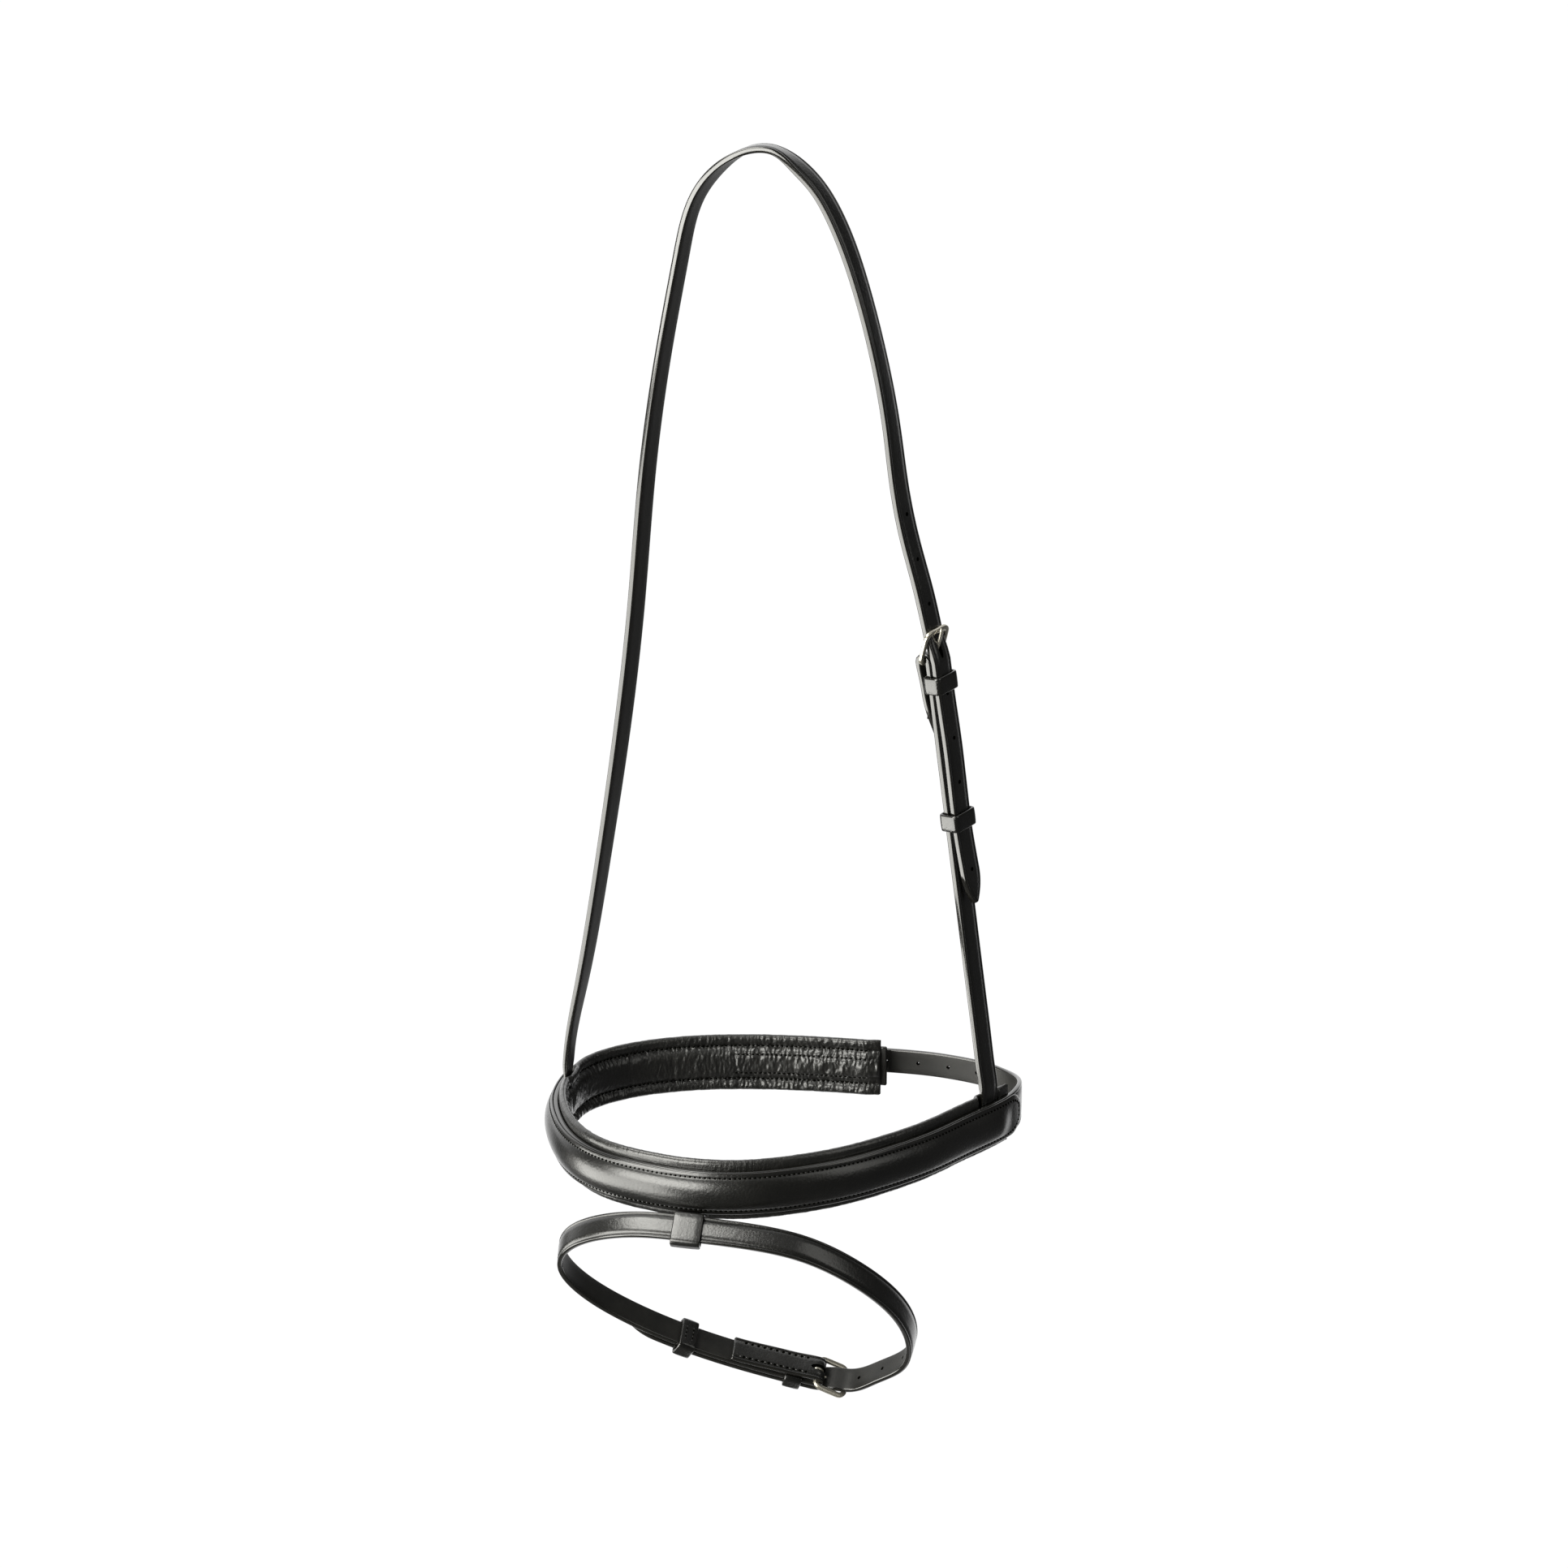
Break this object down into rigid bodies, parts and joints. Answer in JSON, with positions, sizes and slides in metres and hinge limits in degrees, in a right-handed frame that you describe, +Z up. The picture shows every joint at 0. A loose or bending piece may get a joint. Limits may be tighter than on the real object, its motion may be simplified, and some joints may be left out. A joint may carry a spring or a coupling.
{
  "type": "bridle noseband",
  "caption": "Padded horse noseband on its own headpiece, with a raised front, a sewn loop that carries a flash strap, wire buckles, and keepers that slide.",
  "frame": {"origin": "under the headpiece at its crown, where it lies on the horse's poll", "axes": "+Z up along the horse's head when worn, -Y to the front of the nose, +X to the horse's left, the side with the buckles"},
  "size_m": [0.2426, 0.2192, 0.6413],
  "materials": {
    "strap_leather": "black bridle leather with a soft sheen",
    "lining_leather": "soft black lining leather, satin",
    "felt": "matte felt",
    "foam": "matte foam",
    "nickel": "polished nickel plate"
  },
  "bodies": {
    "noseband": {"head_strap": "strap_leather", "cheek_strap": "strap_leather", "head_keeper": "strap_leather", "nose_strap": "strap_leather", "nose_facing": "strap_leather", "nose_core": "felt", "nose_foam": "foam", "nose_lining": "lining_leather", "jaw_chape": "strap_leather", "jaw_keeper": "strap_leather", "jaw_far_keeper": "strap_leather"},
    "head_runner": {"head_running_keeper": "strap_leather"},
    "head_frame": {"head_buckle_frame": "nickel"},
    "head_tongue": {"head_buckle_tongue": "nickel"},
    "jaw_frame": {"jaw_buckle_frame": "nickel"},
    "jaw_tongue": {"jaw_buckle_tongue": "nickel"},
    "loop": {"flash_loop": "strap_leather"},
    "flash": {"flash_strap": "strap_leather", "flash_keeper": "strap_leather"},
    "flash_frame": {"flash_buckle_frame": "nickel"},
    "flash_tongue": {"flash_buckle_tongue": "nickel"},
    "flash_runner": {"flash_running_keeper": "strap_leather"}
  },
  "joints": [
    {"name": "head_keeper_slide", "type": "slide", "parent": "noseband", "child": "head_runner", "axis": [-0.1197, -0.0647, 0.9907], "range_m": [-0.006, 0.034]},
    {"name": "head_frame_lift", "type": "hinge", "parent": "noseband", "child": "head_frame", "pos_m": [0.08015, 0.01968, -0.25113], "axis": [0.4585, 0.8815, 0.1129], "range_deg": [0, 5]},
    {"name": "head_tongue_lift", "type": "hinge", "parent": "head_frame", "child": "head_tongue", "pos_m": [0.08015, 0.01968, -0.25113], "axis": [0.4585, 0.8815, 0.1129], "range_deg": [0, 3]},
    {"name": "jaw_frame_lift", "type": "hinge", "parent": "noseband", "child": "jaw_frame", "pos_m": [0.0213, 0.10488, -0.501], "axis": [0, 0, 1], "range_deg": [0, 4]},
    {"name": "jaw_tongue_lift", "type": "hinge", "parent": "jaw_frame", "child": "jaw_tongue", "pos_m": [0.0213, 0.10488, -0.501], "axis": [0, 0, 1], "range_deg": [0, 3]},
    {"name": "loop_swing", "type": "hinge", "parent": "noseband", "child": "loop", "pos_m": [-0.01809, -0.08951, -0.5118], "axis": [1, 0, 0], "range_deg": [-35, 30]},
    {"name": "flash_feed", "type": "hinge", "parent": "loop", "child": "flash", "pos_m": [-0.03349, 0.12376, -0.8301], "axis": [0, 0.8192, 0.5736], "range_deg": [-4, 2]},
    {"name": "flash_frame_lift", "type": "hinge", "parent": "flash", "child": "flash_frame", "pos_m": [0.03186, -0.01886, -0.62597], "axis": [-0.0278, 0.8633, 0.504], "range_deg": [0, 5]},
    {"name": "flash_tongue_lift", "type": "hinge", "parent": "flash_frame", "child": "flash_tongue", "pos_m": [0.03186, -0.01886, -0.62597], "axis": [-0.0278, 0.8633, 0.504], "range_deg": [0, 5]},
    {"name": "flash_keeper_slide", "type": "slide", "parent": "flash", "child": "flash_runner", "axis": [0.8609, 0.2918, -0.4167], "range_m": [-0.006, 0.004]}
  ]
}
